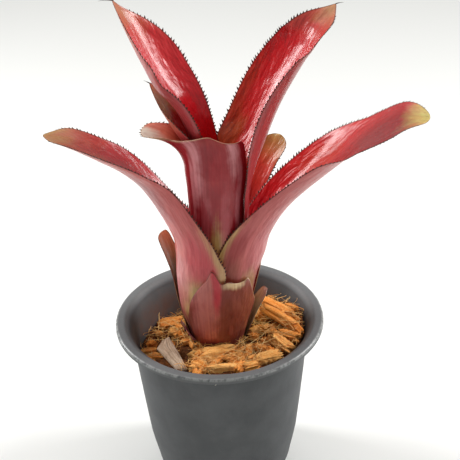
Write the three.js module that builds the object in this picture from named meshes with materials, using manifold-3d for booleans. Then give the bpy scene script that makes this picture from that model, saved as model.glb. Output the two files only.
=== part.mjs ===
// A potted black knight quesnelia: a tubular bromeliad in a round nursery pot filled with
// coconut-husk chips. Millimetres, +Z up, origin at the centre of the pot's underside.
// Azimuth 0 points along -Y, the front, and azimuth 90 along +X.
import * as THREE from 'three';
import { mergeVertices } from 'three/addons/utils/BufferGeometryUtils.js';
import Module from 'manifold-3d';

// Driving dimensions
const POT_HEIGHT = 98;
const RIM_RADIUS = 55;
const RIM_FACE = 3.3;
const BASE_RADIUS = 30;
const WALL = 1.3;
const DRAIN_RADIUS = 3.5;
const DRAIN_CIRCLE = 22;
const SOIL_LEVEL = 90;
const TROUGH_DEPTH = 15;
const NECK_RADIUS = 16.2;
const CORE_RADIUS = 4.6;
const LEDGE = 83.7;
const CORE_FOOT = 60;
const LEAF_THICKNESS = 0.7;
const TOOTH_LENGTH = 1.5;
const TOOTH_BASE = 1.7;
const TOOTH_PITCH = 4.2;
const CLEARANCE = 0.35;

// The stem leans a little to the right as it rises
const AXIS = new THREE.Vector2(-1, -1);
const LEAN = 0.034;

const UP = new THREE.Vector3(0, 0, 1);
const wasm = await Module();
wasm.setup();

const plant = new THREE.Group();

// Repeatable random numbers between 0 and 1
function seeded(seed) {
  let state = seed;
  return () => {
    state = (state * 16807) % 2147483647;
    return state / 2147483647;
  };
}

function material(colour, roughness, metalness = 0) {
  return new THREE.MeshStandardMaterial({ color: colour, roughness, metalness });
}

function addNode(name, geometry, surface) {
  geometry.computeVertexNormals();
  const mesh = new THREE.Mesh(geometry, surface);
  mesh.name = name;
  plant.add(mesh);
  return mesh;
}

function direction(azimuth) {
  const angle = THREE.MathUtils.degToRad(azimuth);
  return new THREE.Vector3(Math.sin(angle), -Math.cos(angle), 0);
}

function onAxis(height) {
  return new THREE.Vector3(AXIS.x + LEAN * (height - SOIL_LEVEL), AXIS.y, height);
}

function smooth(x) {
  const t = THREE.MathUtils.clamp(x, 0, 1);
  return t * t * (3 - 2 * t);
}

// Solids for cutting and joining
function toSolid(geometry) {
  const bare = geometry.clone();
  bare.deleteAttribute('normal');
  bare.deleteAttribute('uv');
  const merged = mergeVertices(bare, 1e-4);
  return new wasm.Manifold(new wasm.Mesh({
    numProp: 3,
    vertProperties: new Float32Array(merged.attributes.position.array),
    triVerts: new Uint32Array(merged.index.array),
  }));
}

function fromSolid(solid) {
  const mesh = solid.getMesh();
  const geometry = new THREE.BufferGeometry();
  geometry.setAttribute('position', new THREE.BufferAttribute(mesh.vertProperties, 3));
  geometry.setIndex(new THREE.BufferAttribute(mesh.triVerts, 1));
  return geometry;
}

// A turned solid about Z from a list of [radius, height]
function turned(profile, segments) {
  const points = profile.map(([r, z]) => new THREE.Vector2(r, z));
  const geometry = new THREE.LatheGeometry(points, segments);
  geometry.rotateX(Math.PI / 2);
  return geometry;
}

// A value from a table of [x, value] rows, with straight lines between them
function lookUp(table, x) {
  for (let i = 1; i < table.length; i += 1) {
    const [x0, v0] = table[i - 1];
    const [x1, v1] = table[i];
    if (x <= x1 || i === table.length - 1) {
      return v0 + (v1 - v0) * THREE.MathUtils.clamp((x - x0) / (x1 - x0), 0, 1);
    }
  }
  return table[0][1];
}

// Pot
const POT_WALL = [
  [0, 30], [1.2, 32.4], [8, 36.1], [28, 40.2], [48, 42.5], [68, 44.6], [83, 46], [95, 47.2],
];

function potInside(height) {
  return lookUp(POT_WALL, height) - WALL;
}

function pot() {
  const rimFoot = POT_HEIGHT - RIM_FACE;
  const outside = POT_WALL.filter(([z]) => z < rimFoot).map(([z, r]) => [r, z]);
  const inside = [83, 48, 28, 8].map((z) => [potInside(z), z]);
  const body = toSolid(turned([
    [0, 0],
    ...outside,
    [lookUp(POT_WALL, rimFoot), rimFoot],
    [RIM_RADIUS - 0.6, rimFoot],
    [RIM_RADIUS, rimFoot + 0.6],
    [RIM_RADIUS, POT_HEIGHT - 1],
    [RIM_RADIUS - 0.9, POT_HEIGHT],
    [RIM_RADIUS - 4.6, POT_HEIGHT],
    [RIM_RADIUS - 7.4, POT_HEIGHT - 2.4],
    [potInside(90), 90],
    ...inside,
    [BASE_RADIUS, WALL + 0.9],
    [BASE_RADIUS - 3, WALL + 0.2],
    [0, WALL + 0.2],
  ], 48));
  const drain = new THREE.CylinderGeometry(DRAIN_RADIUS, DRAIN_RADIUS, 8, 12);
  drain.rotateX(Math.PI / 2);
  let shell = body;
  for (let k = 0; k < 6; k += 1) {
    const place = direction(30 + 60 * k).multiplyScalar(DRAIN_CIRCLE);
    shell = shell.subtract(toSolid(drain.clone().translate(place.x, place.y, 0)));
  }
  return fromSolid(shell);
}

// Bark chip, laid on the husk at the front left
const BARK_CORNERS = [
  [-26.7, -8], [-30.5, -11], [-33, -17.7], [-22, -37.1], [-17.1, -36.2], [-21, -24],
];
const BARK_TOP = 92.2;
const BARK_THICKNESS = 2.8;

function barkPrism(grow) {
  const centre = new THREE.Vector2();
  const corners = BARK_CORNERS.map(([x, y]) => new THREE.Vector2(x, y));
  corners.forEach((corner) => centre.addScaledVector(corner, 1 / corners.length));
  const wider = corners.map((corner) => {
    const reach = corner.clone().sub(centre);
    return corner.clone().addScaledVector(reach.normalize(), grow * 1.6);
  });
  const geometry = new THREE.ExtrudeGeometry(new THREE.Shape(wider), {
    depth: BARK_THICKNESS + 2 * grow,
    bevelEnabled: false,
  });
  geometry.translate(0, 0, BARK_TOP - BARK_THICKNESS - grow);
  return geometry;
}

// Husk mix: a core that fills the pot, with chips on top, and a stepped hole for the plant
function soilHeight(radius, azimuth) {
  const turn = THREE.MathUtils.degToRad(azimuth + 140);
  const towardTrough = smooth((Math.cos(turn) + 0.35) / 1.1);
  const ring = smooth((radius - 19) / 10);
  const swell = 0.9 * Math.sin(radius * 0.6 + 3 * turn) + 0.7 * Math.sin(5 * turn);
  const rise = 2.5 * smooth((radius - 24) / 18) * (1 - towardTrough);
  return SOIL_LEVEL - 0.8 + rise + ring * (swell - TROUGH_DEPTH * towardTrough);
}

function huskCore() {
  const rings = [42, 37, 32, 27, 22, 18.5];
  const floor = WALL + 0.2 + CLEARANCE;
  const wall = [8, 28, 48, 68].map((z) => [potInside(z) - CLEARANCE, z]);
  const geometry = turned([
    [0, floor],
    [BASE_RADIUS - 3.6, floor],
    [BASE_RADIUS - 0.6, floor + 1],
    ...wall,
    [44, 200],
    ...rings.map((r) => [r, 200]),
    [NECK_RADIUS, 200],
    [NECK_RADIUS, LEDGE],
    [CORE_RADIUS + 0.9, LEDGE],
    [CORE_RADIUS + 0.9, CORE_FOOT],
    [0, CORE_FOOT],
  ], 32);
  const place = geometry.attributes.position;
  for (let i = 0; i < place.count; i += 1) {
    const x = place.getX(i);
    const y = place.getY(i);
    if (place.getZ(i) > 150) {
      const radius = Math.hypot(x, y);
      const height = soilHeight(radius, THREE.MathUtils.radToDeg(Math.atan2(x, -y)));
      const reach = radius > 43.5 ? (potInside(height) - CLEARANCE) / radius : 1;
      place.setXYZ(i, x * reach, y * reach, height);
    }
    if (Math.hypot(x, y) < NECK_RADIUS + 0.1 && place.getZ(i) > floor + 1) {
      place.setX(i, place.getX(i) + AXIS.x);
      place.setY(i, place.getY(i) + AXIS.y);
    }
  }
  return toSolid(geometry);
}

function huskMix() {
  const random = seeded(4271);
  let mix = huskCore();
  for (let k = 0; k < 22; k += 1) {
    const radius = 22 + 20 * Math.sqrt(random());
    const azimuth = 360 * random();
    const size = [6 + 5 * random(), 5 + 4 * random(), 4 + 3 * random()];
    const chip = new THREE.BoxGeometry(size[0], size[1], size[2]);
    chip.rotateX(0.9 * (random() - 0.5));
    chip.rotateY(0.9 * (random() - 0.5));
    chip.rotateZ(6.28 * random());
    const place = direction(azimuth).multiplyScalar(radius);
    chip.translate(place.x, place.y, soilHeight(radius, azimuth) + 0.6);
    mix = mix.add(toSolid(chip));
  }
  const plantRoom = turned([
    [0, LEDGE + 4], [NECK_RADIUS, LEDGE + 4], [NECK_RADIUS + 0.8, 90], [20, 94], [24, 98],
    [29, 104], [29, 130], [0, 130],
  ], 32).translate(AXIS.x, AXIS.y, 0);
  const potRoom = turned([
    [0, WALL], [BASE_RADIUS, WALL],
    ...[8, 28, 48, 68, 83, 93].map((z) => [potInside(z) - CLEARANCE, z]),
    [0, 93],
  ], 48);
  mix = mix.subtract(toSolid(plantRoom)).intersect(toSolid(potRoom));
  mix = mix.subtract(toSolid(barkPrism(0.45))).subtract(toSolid(barkPrism(0.45).translate(0, 0, 3)));
  const parts = mix.decompose().sort((a, b) => b.volume() - a.volume());
  return fromSolid(parts[0]);
}

// Stem core, hidden inside the nest of leaf bases
function stemCore() {
  const foot = CORE_FOOT + CLEARANCE;
  return turned([
    [0, foot], [CORE_RADIUS - 1, foot], [CORE_RADIUS, foot + 2], [CORE_RADIUS, 94],
    [CORE_RADIUS - 1.4, 99], [0, 101],
  ], 20).translate(AXIS.x, AXIS.y, 0);
}

// A leaf's middle line and section, as rows of [reach from the axis, height, shift sideways,
// half width, half curl in degrees, roll in degrees], joined by a smooth curve
function rowAt(rows, t) {
  const last = rows.length - 1;
  const x = THREE.MathUtils.clamp(t * last, 0, last - 1e-9);
  const i = Math.floor(x);
  const f = x - i;
  const before = i > 0 ? rows[i - 1] : rows[0].map((v, k) => 2 * v - rows[1][k]);
  const after = i < last - 1 ? rows[i + 2] : rows[last].map((v, k) => 2 * v - rows[last - 1][k]);
  return rows[i].map((b, k) => {
    const a = before[k];
    const c = rows[i + 1][k];
    const d = after[k];
    return 0.5 * (2 * b + (c - a) * f + (2 * a - 5 * b + 4 * c - d) * f * f
      + (3 * b - a - 3 * c + d) * f * f * f);
  });
}

// The grid of points on a leaf's middle surface. Its level sections turn across the midline
// above the sheath, which has the given number of rows.
function leafGrid({ azimuth, rows, sheathRows, roundFrom, steps, across }) {
  const out = direction(azimuth);
  const side = UP.clone().cross(out);
  const midAt = (t) => {
    const [reach, height, shift] = rowAt(rows, t);
    return onAxis(height).addScaledVector(out, reach).addScaledVector(side, shift);
  };
  const places = [];
  for (let i = 0; i < steps; i += 1) {
    places.push((roundFrom * i) / (steps - 1));
  }
  [0.45, 0.75, 0.93, 1].forEach((e) => places.push(roundFrom + (1 - roundFrom) * e));
  return places.map((t) => {
    const [, , , halfWidth, halfCurl, roll] = rowAt(rows, t);
    const mid = midAt(t);
    const forward = midAt(Math.min(t + 0.004, 1)).sub(midAt(Math.max(t - 0.004, 0))).normalize();
    const turn = smooth((t * (rows.length - 1) - (sheathRows - 1)) / 2);
    forward.multiplyScalar(turn).addScaledVector(UP, 1 - turn).normalize();
    const flat = side.clone().addScaledVector(forward, -side.dot(forward)).normalize();
    const inward = forward.clone().cross(flat);
    const tilt = THREE.MathUtils.degToRad(roll);
    const sideways = flat.clone().multiplyScalar(Math.cos(tilt));
    sideways.addScaledVector(inward, Math.sin(tilt));
    inward.multiplyScalar(Math.cos(tilt)).addScaledVector(flat, -Math.sin(tilt));
    const end = THREE.MathUtils.clamp((t - roundFrom) / (1 - roundFrom), 0, 1);
    const width = halfWidth * Math.sqrt(Math.max(1 - end * end, 0)) + 0.05;
    const curl = THREE.MathUtils.degToRad(Math.max(halfCurl, 4))
      * THREE.MathUtils.clamp(width / Math.max(halfWidth, 0.1), 0.25, 1);
    const radius = width / curl;
    return Array.from({ length: across }, (_, j) => {
      const angle = curl * (2 * j / (across - 1) - 1);
      return mid.clone()
        .addScaledVector(inward, radius * (1 - Math.cos(angle)))
        .addScaledVector(sideways, radius * Math.sin(angle));
    });
  });
}

// A leaf that stands as a sleeve: ribs of [azimuth at the base, azimuth at the rim, rim radius,
// rim height, extra radius] on a profile of [height, radius] up to the shoulder. Above it
// each rib bends to its rim by way of a corner, placed by the two shares.
function sleeveGrid({ ribs, profile, corner, steps, around }) {
  const foot = profile[0][0];
  const shoulder = profile[profile.length - 1][0];
  const below = Math.round(steps * 0.55);
  return Array.from({ length: around }, (_, i) => {
    const [base, rim, rimRadius, rimHeight, extra] = rowAt(ribs, i / (around - 1));
    const pointAt = (azimuth, radius, height) => (
      onAxis(height).addScaledVector(direction(azimuth), radius));
    const wallAt = (height) => {
      const share = 0.5 + 0.5 * smooth((height - foot) / (shoulder - foot));
      return lookUp(profile, height) + extra * share;
    };
    const start = pointAt(base, wallAt(shoulder), shoulder);
    const finish = pointAt(rim, rimRadius, rimHeight);
    const bend = pointAt(
      THREE.MathUtils.lerp(base, rim, corner[0]),
      THREE.MathUtils.lerp(wallAt(shoulder), rimRadius, corner[0]),
      THREE.MathUtils.lerp(shoulder, rimHeight, corner[1]),
    );
    return Array.from({ length: steps }, (__, j) => {
      if (j <= below) {
        const height = THREE.MathUtils.lerp(foot, shoulder, j / below);
        return pointAt(base, wallAt(height), height);
      }
      const s = (j - below) / (steps - 1 - below);
      return start.clone().multiplyScalar((1 - s) * (1 - s))
        .addScaledVector(bend, 2 * s * (1 - s))
        .addScaledVector(finish, s * s);
    });
  });
}

// A thin closed blade on a grid of middle points. Teeth stand along its first and last
// columns, between the stated shares of the length. A pointed blade closes on one tip.
function blade(grid, { pointed = true, teeth = [], pitch = TOOTH_PITCH, tooth = TOOTH_LENGTH, seed = 7 }) {
  const random = seeded(seed);
  const rows = grid.length;
  const columns = grid[0].length;
  const body = pointed ? rows - 1 : rows;
  const points = [];
  const faces = [];
  const add = (point) => points.push(point.x, point.y, point.z) / 3 - 1;
  const tri = (a, b, c) => faces.push(a, b, c);

  const normalAt = (i, j) => {
    const along = grid[Math.min(i + 1, rows - 1)][j].clone().sub(grid[Math.max(i - 1, 0)][j]);
    const acrossIt = grid[i][Math.min(j + 1, columns - 1)].clone().sub(grid[i][Math.max(j - 1, 0)]);
    return along.cross(acrossIt).normalize();
  };
  const layer = (sign) => grid.slice(0, body).map((row, i) => row.map((middle, j) => (
    add(middle.clone().addScaledVector(normalAt(i, j), sign * LEAF_THICKNESS / 2)))));
  const inner = layer(1);
  const outer = layer(-1);
  const vertex = (index) => new THREE.Vector3().fromArray(points, 3 * index);

  // One edge of the blade as a chain of inner and outer points, with room for its teeth
  const chainAt = (edge, neighbour, range) => {
    const chain = [];
    let next = range ? grid.length * range[0] : Infinity;
    for (let i = 0; i < body - 1; i += 1) {
      const span = grid[i + 1][edge].distanceTo(grid[i][edge]);
      const links = [{ i: inner[i][edge], o: outer[i][edge] }];
      const half = TOOTH_BASE / 2 / span;
      while (range && next < i + 1 && next < (rows - 1) * range[1]) {
        const centre = next - i;
        const room = links.length > 1 ? links[links.length - 1].at + 0.15 : 0;
        if (centre - half > Math.max(room, 0.05) && centre + half < 0.95) {
          const cut = (f) => ({
            i: add(vertex(inner[i][edge]).lerp(vertex(inner[i + 1][edge]), f)),
            o: add(vertex(outer[i][edge]).lerp(vertex(outer[i + 1][edge]), f)),
            at: f,
          });
          const root = grid[i][edge].clone().lerp(grid[i + 1][edge], centre);
          const beside = grid[i][neighbour].clone().lerp(grid[i + 1][neighbour], centre);
          const away = root.clone().sub(beside).normalize();
          const ahead = grid[i + 1][edge].clone().sub(grid[i][edge]).normalize();
          const length = tooth * (0.85 + 0.3 * random());
          const peak = root.addScaledVector(away, length).addScaledVector(ahead, 0.45 * length);
          links.push({ ...cut(centre - half), tip: add(peak) }, cut(centre + half));
        }
        next += (pitch * (0.85 + 0.3 * random())) / span;
      }
      if (range && next < i + 1) {
        next = i + 1 + 0.2;
      }
      chain.push(links);
    }
    return chain.map((links, i) => [...links, { i: inner[i + 1][edge], o: outer[i + 1][edge] }]);
  };

  const first = chainAt(0, 1, teeth[0]);
  const last = chainAt(columns - 1, columns - 2, teeth[1]);
  const centreColumn = (columns - 1) / 2;
  const apexPoint = pointed
    ? add(grid[rows - 1][centreColumn].clone().lerp(grid[rows - 2][centreColumn], -0.8))
    : undefined;
  [[0, 1, false, first], [columns - 1, columns - 2, true, last]].forEach((side) => {
    const [edge, neighbour, flip, chain] = side;
    const face = (a, b, c) => (flip ? tri(a, c, b) : tri(a, b, c));
    chain.forEach((links, i) => {
      const middle = Math.ceil((links.length - 1) / 2);
      const a = { i: inner[i][neighbour], o: outer[i][neighbour] };
      const b = { i: inner[i + 1][neighbour], o: outer[i + 1][neighbour] };
      for (let n = 0; n < links.length - 1; n += 1) {
        const p = links[n];
        const q = links[n + 1];
        const apex = n < middle ? a : b;
        face(p.i, q.i, apex.i);
        face(q.o, p.o, apex.o);
        if (p.tip === undefined) {
          face(p.o, q.o, q.i);
          face(p.o, q.i, p.i);
        } else {
          face(p.o, q.o, p.tip);
          face(q.o, q.i, p.tip);
          face(q.i, p.i, p.tip);
          face(p.i, p.o, p.tip);
        }
      }
      face(links[middle].i, b.i, a.i);
      face(b.o, links[middle].o, a.o);
    });
    if (pointed) {
      face(outer[body - 1][edge], apexPoint, inner[body - 1][edge]);
    }
  });
  for (let i = 0; i < body - 1; i += 1) {
    for (let j = 1; j < columns - 2; j += 1) {
      tri(inner[i][j], inner[i + 1][j], inner[i + 1][j + 1]);
      tri(inner[i][j], inner[i + 1][j + 1], inner[i][j + 1]);
      tri(outer[i][j], outer[i + 1][j + 1], outer[i + 1][j]);
      tri(outer[i][j], outer[i][j + 1], outer[i + 1][j + 1]);
    }
  }
  for (let j = 0; j < columns - 1; j += 1) {
    tri(outer[0][j], inner[0][j], inner[0][j + 1]);
    tri(outer[0][j], inner[0][j + 1], outer[0][j + 1]);
    if (pointed) {
      tri(inner[body - 1][j], apexPoint, inner[body - 1][j + 1]);
      tri(outer[body - 1][j], outer[body - 1][j + 1], apexPoint);
    } else {
      tri(outer[body - 1][j], inner[body - 1][j + 1], inner[body - 1][j]);
      tri(outer[body - 1][j], outer[body - 1][j + 1], inner[body - 1][j + 1]);
    }
  }
  const geometry = new THREE.BufferGeometry();
  geometry.setAttribute('position', new THREE.Float32BufferAttribute(points, 3));
  geometry.setIndex(faces);
  return geometry;
}

function leaf(shape, teeth) {
  return blade(leafGrid({ roundFrom: 0.93, steps: 17, across: 11, ...shape }), teeth);
}

// Where the teeth stand: from a share of the length on each edge to one near the tip
function bothEdges(firstFrom, lastFrom, to, seed) {
  return { teeth: [[firstFrom, to], [lastFrom, to]], seed };
}

function oneEdge(from, to, seed) {
  return { pointed: false, teeth: [null, [from, to]], seed };
}

// Low leaf that arches to the left
const LEAF_LEFT_LOW = {
  azimuth: -90,
  sheathRows: 5,
  across: 13,
  rows: [
    [12.6, 84, 1, 22, 100, 4],
    [15.2, 95, 1.3, 25.8, 97, 5],
    [18.5, 104, 1.5, 29.7, 96, 5],
    [19.9, 113, 1.7, 30.9, 94, 5],
    [21, 127, 2.4, 32.6, 92, 8],
    [21.1, 141, 2.8, 33.4, 86, 10],
    [23.4, 153, 2.5, 26, 67, 15],
    [35.6, 174, -1, 22.6, 52, 20],
    [47, 187.3, -0.3, 19.6, 41, 14],
    [59, 196, 0.2, 17, 34, 9],
    [74, 203.6, -2.6, 12.4, 26, 4],
    [85.3, 206.8, -4.6, 4.4, 12, 0],
  ],
};

// Low leaf that arches to the right
const LEAF_RIGHT_LOW = {
  azimuth: 90,
  sheathRows: 5,
  across: 13,
  rows: [
    [11.35, 84, -0.6, 19.8, 100, -3],
    [13.9, 95, -0.7, 23.7, 98, -3],
    [15.9, 104, -0.8, 26.6, 96, -3],
    [17.5, 113, -0.9, 28.8, 94, -3],
    [19.6, 126, -1, 30, 90, -5],
    [23.2, 137, -0.7, 31.6, 85, -16],
    [27.2, 149.5, 2.3, 27.3, 75, -15],
    [38, 165.7, 4.6, 22.8, 68, -10],
    [60, 185.5, 6.2, 24.6, 45, -10],
    [72.5, 199.4, 3.3, 15.7, 16, -5],
    [88.4, 213.9, -6.9, 13.5, 6, 0],
    [100.4, 216.1, -11.3, 9.6, 20, 2],
  ],
};

// Tall leaf on the right
const LEAF_RIGHT_HIGH = {
  azimuth: 112,
  sheathRows: 6,
  roundFrom: 0.94,
  rows: [
    [10.1, 84, 0, 17.6, 100, 0],
    [12.6, 95, 0, 21.6, 98, 0],
    [14.6, 104, 0, 24.2, 95, 0],
    [16, 113, 0, 23.5, 84, 0],
    [16.4, 132, 0, 20, 70, 0],
    [15.8, 152, 0, 17, 58, 0],
    [14.8, 169, 0.4, 18, 55, 3],
    [15.8, 182, 1.5, 22.5, 57, 4],
    [23.1, 197.6, 1, 26.5, 60, -8],
    [32.7, 219.9, 0, 26.5, 61, -12],
    [43.4, 241.4, -2.6, 19.7, 60, -5],
    [48.6, 252.3, -2.8, 12.5, 39, 11],
    [62.5, 260.8, 2.5, 2.2, 22, 20],
  ],
};

// Short leaf on the left, cupped around the tall one
const LEAF_LEFT_SHORT = {
  azimuth: -105,
  sheathRows: 7,
  roundFrom: 0.85,
  rows: [
    [7.7, 84, 0, 13.4, 100, 0],
    [10, 95, 0, 17.1, 98, 0],
    [12, 104, 0, 20.1, 96, 0],
    [13.1, 113, 0, 21.7, 95, 0],
    [13, 132, 0, 21.1, 93, 0],
    [12.4, 152, 0, 19.9, 92, 0],
    [11.8, 168, 0, 18.5, 90, 0],
    [12.3, 178, 0, 18.6, 87, 0],
    [13.6, 195.5, 0, 17.6, 77, 2],
    [22.4, 210.5, 0, 15, 55, 2],
    [27.6, 220, 0, 11.4, 36, 0],
    [33.6, 231, 1, 3.6, 20, 0],
  ],
};

// Tall leaf on the left, the innermost
const LEAF_LEFT_HIGH = {
  azimuth: -110,
  sheathRows: 7,
  rows: [
    [6.5, 84, 0, 11.3, 100, 0],
    [8.7, 95, 0, 14.9, 98, 0],
    [10.7, 104, 0, 17.7, 95, 0],
    [11.8, 113, 0, 19.4, 94, 0],
    [11.7, 132, 0, 18.8, 92, 0],
    [11.1, 152, 0, 17.4, 90, 0],
    [10.5, 168, 0, 16.1, 88, 0],
    [10.9, 178, 0.3, 16.2, 85, 2],
    [12.4, 199, 1, 16.2, 77, 8],
    [19, 218, 2.5, 18.7, 68, 9],
    [28.8, 229.5, 1.7, 21.2, 59, 4],
    [36.1, 240.6, 0.5, 20.6, 56, 4],
    [43.3, 254.8, 1, 13.7, 42, 4],
    [52.8, 269.5, 0, 2.7, 29, 10],
  ],
};

// Old leaf at the back right
const LEAF_BACK = {
  azimuth: 147,
  sheathRows: 3,
  roundFrom: 0.9,
  steps: 14,
  across: 7,
  rows: [
    [13.9, 84, 0, 7.3, 30, 0],
    [17.2, 96, 0, 9.3, 31, 0],
    [20.8, 110, 0, 13, 36, 0],
    [25.5, 124, 0, 13.5, 31, 0],
    [31, 138, 0, 12, 26, 0],
    [35.3, 150, 0.5, 9, 24, 0],
    [39.8, 162, 0.5, 7, 22, 0],
    [45.5, 172, -1.5, 7, 20, 0],
    [50.5, 178.5, -3.4, 7.2, 20, 0],
    [54, 183, -4.2, 5.6, 16, 0],
  ],
};

// Dry stub on the left
const STUB_LEFT = {
  azimuth: -112,
  sheathRows: 3,
  roundFrom: 0.95,
  steps: 10,
  across: 5,
  rows: [
    [13.9, 84, 0, 5, 21, 0],
    [17.6, 96, 0, 6.5, 22, 0],
    [21, 110, 0, 7.5, 21, 0],
    [23.8, 124, 0, 7.5, 20, 0],
    [27.3, 133, 0, 6.5, 20, 0],
    [30.6, 140.5, 0, 6, 20, 0],
    [32.2, 144, 0, 4.5, 16, 0],
  ],
};

// Small scale at the base on the right
const STUB_RIGHT = {
  azimuth: 95,
  sheathRows: 2,
  roundFrom: 0.85,
  steps: 6,
  across: 5,
  rows: [
    [13.9, 84, 0, 2.6, 11, 0],
    [17, 93, 0, 4.5, 15, 0],
    [21, 103, 0.5, 7, 25, 0],
    [24.5, 110, 1, 5.5, 20, 0],
    [26, 113, 1, 2, 12, 0],
  ],
};

// Rolled leaf that forms the tube, with a broken, bent-out blade on the left
const LEAF_TUBE = {
  profile: [
    [84, 8.9], [95, 11.3], [104, 13.3], [113, 14.4], [132, 14.3], [152, 13.7], [168, 13.2],
    [178, 13.9], [188, 15],
  ],
  corner: [0.04, 1],
  steps: 17,
  around: 30,
  ribs: [
    [64, 42, 15.3, 207.5, 0],
    [45, 26, 15.5, 207.8, 0],
    [26, 8, 15.6, 209, 0],
    [6, -8, 15.6, 211, 0],
    [-14, -22, 16.1, 212, 0],
    [-34, -50, 17.5, 209, 0.4],
    [-50, -74, 22, 206.5, 0.9],
    [-62, -84, 28, 206.8, 1.2],
    [-73, -88, 34, 206.3, 1.2],
    [-84, -94, 37.2, 205.5, 1.2],
    [-96, -102, 38.4, 206, 1.2],
    [-108, -110, 36.5, 207, 1.2],
    [-120, -114, 30.5, 207.2, 1],
    [-133, -117, 25.5, 207, 0.6],
    [-147, -133, 21.8, 206, 0.3],
    [-163, -154, 19, 199, 0],
    [-180, -178, 17, 192, 0],
    [-198, -198, 16, 189.5, 0],
  ],
};

// Stub of an old outer leaf, wrapped over the front
const STUB_FRONT = {
  profile: [[84, 12.9], [92, 14.4], [98, 15.9]],
  corner: [0.6, 0.5],
  steps: 9,
  around: 19,
  ribs: [
    [78, 84, 19.2, 110, 0],
    [66, 68, 19.6, 117, 0.1],
    [55, 55, 20.4, 126, 0.3],
    [47, 47, 20.7, 131.5, 0.6],
    [39, 39, 20.8, 131, 0.9],
    [26, 26, 21.1, 131.5, 1.5],
    [13, 12, 22.2, 134, 2.1],
    [3, 3, 22.6, 134, 2.4],
    [-6, -8, 22.6, 141, 2.5],
    [-15, -16, 22.5, 135.5, 2.7],
    [-26, -28, 22.2, 129, 2.8],
    [-35, -40, 21.9, 120, 2.8],
    [-43, -46, 21.5, 110, 2.8],
  ],
};

// Peeling bract low on the front left
const BRACT_LEFT = {
  profile: [[84, 14.6], [88, 15.3]],
  corner: [0.3, 0.5],
  steps: 5,
  around: 9,
  ribs: [
    [-56, -34, 20.8, 96, 0],
    [-61, -47, 21.2, 99, 0],
    [-67, -60, 21, 102, 0],
    [-73, -73, 20.4, 101, 0],
    [-79, -84, 19.8, 96, 0],
  ],
};

const POT_PLASTIC = material(0x4a4c4d, 0.62);
const HUSK = material(0xa8612f, 0.95);
const BARK = material(0xb49a82, 0.9);
const STEM = material(0x8a6f4a, 0.8);
const LEAF_RED = material(0xb02a38, 0.35);
const LEAF_ROSE = material(0xb8606a, 0.4);
const STUB_DRY = material(0x9a6a3c, 0.7);
const STUB_MAROON = material(0x8a3c40, 0.5);

addNode('pot', pot(), POT_PLASTIC);
addNode('husk_mix', huskMix(), HUSK);
addNode('bark_chip', barkPrism(0), BARK);
addNode('stem_core', stemCore(), STEM);
addNode('leaf_left_low', leaf(LEAF_LEFT_LOW, bothEdges(0.45, 0.42, 0.95, 11)), LEAF_ROSE);
addNode('leaf_right_low', leaf(LEAF_RIGHT_LOW, bothEdges(0.45, 0.42, 0.95, 12)), LEAF_ROSE);
addNode('leaf_right_high', leaf(LEAF_RIGHT_HIGH, bothEdges(0.5, 0.5, 0.95, 13)), LEAF_RED);
addNode('leaf_tube', blade(sleeveGrid(LEAF_TUBE), oneEdge(0.46, 0.84, 14)), LEAF_RED);
addNode('leaf_left_short', leaf(LEAF_LEFT_SHORT, bothEdges(0.66, 0.66, 0.92, 15)), LEAF_RED);
addNode('leaf_left_high', leaf(LEAF_LEFT_HIGH, bothEdges(0.6, 0.6, 0.95, 16)), LEAF_RED);
addNode('leaf_back', leaf(LEAF_BACK, bothEdges(0.55, 0.55, 0.9, 17)), LEAF_RED);
addNode('stub_left', leaf(STUB_LEFT, { teeth: [null, [0.6, 0.9]], seed: 18 }), STUB_DRY);
addNode('stub_right', leaf(STUB_RIGHT, {}), STUB_DRY);
addNode('stub_front', blade(sleeveGrid(STUB_FRONT), { pointed: false }), STUB_MAROON);
addNode('bract_left', blade(sleeveGrid(BRACT_LEFT), { pointed: false }), STUB_MAROON);

export default plant;
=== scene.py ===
# A potted black knight quesnelia: red, spiny leaves rolled into a tube, in a grey nursery pot of
# coconut husk. Sizes are in millimetres and become metres as each mesh is made. +Z is up, the
# front faces -Y, and azimuth 0 is the front and 90 the right-hand side.
import bpy
import math
import numpy as np
from mathutils import Matrix, Vector


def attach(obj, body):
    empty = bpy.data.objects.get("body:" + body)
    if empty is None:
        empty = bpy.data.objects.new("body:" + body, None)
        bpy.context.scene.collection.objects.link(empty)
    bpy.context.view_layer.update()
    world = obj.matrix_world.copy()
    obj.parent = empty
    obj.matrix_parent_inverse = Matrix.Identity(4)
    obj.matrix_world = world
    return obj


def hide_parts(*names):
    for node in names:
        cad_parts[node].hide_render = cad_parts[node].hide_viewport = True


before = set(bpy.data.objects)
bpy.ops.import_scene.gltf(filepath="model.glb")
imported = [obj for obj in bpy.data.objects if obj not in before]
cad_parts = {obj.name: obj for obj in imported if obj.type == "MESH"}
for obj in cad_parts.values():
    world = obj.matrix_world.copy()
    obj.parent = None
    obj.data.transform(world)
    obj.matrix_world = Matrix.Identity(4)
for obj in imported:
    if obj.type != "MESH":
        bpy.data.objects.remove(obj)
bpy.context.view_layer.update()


# ----------------------------------------------------------------------
# The nursery pot. It is moulded from thin grey polypropylene, matt from its mould, with a turned-out
# rim that has gone shiny on its ridge, six drain holes, and two faint mould rings low down. The ridge
# is also painted lighter, partly as wear and partly as a painted highlight.
class Value:
    """A socket of a finish. Sums of it add Math nodes."""

    def __init__(self, finish, socket):
        self.finish = finish
        self.socket = socket

    def sum(self, operation, *values):
        return self.finish.node("ShaderNodeMath", {"operation": operation}, dict(enumerate(values)))

    def __add__(self, other):
        return self.sum("ADD", self, other)

    def __radd__(self, other):
        return self.sum("ADD", other, self)

    def __sub__(self, other):
        return self.sum("SUBTRACT", self, other)

    def __rsub__(self, other):
        return self.sum("SUBTRACT", other, self)

    def __mul__(self, other):
        return self.sum("MULTIPLY", self, other)

    def __rmul__(self, other):
        return self.sum("MULTIPLY", other, self)

    def __truediv__(self, other):
        return self.sum("DIVIDE", self, other)

    def __pow__(self, other):
        return self.sum("POWER", self, other)


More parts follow.
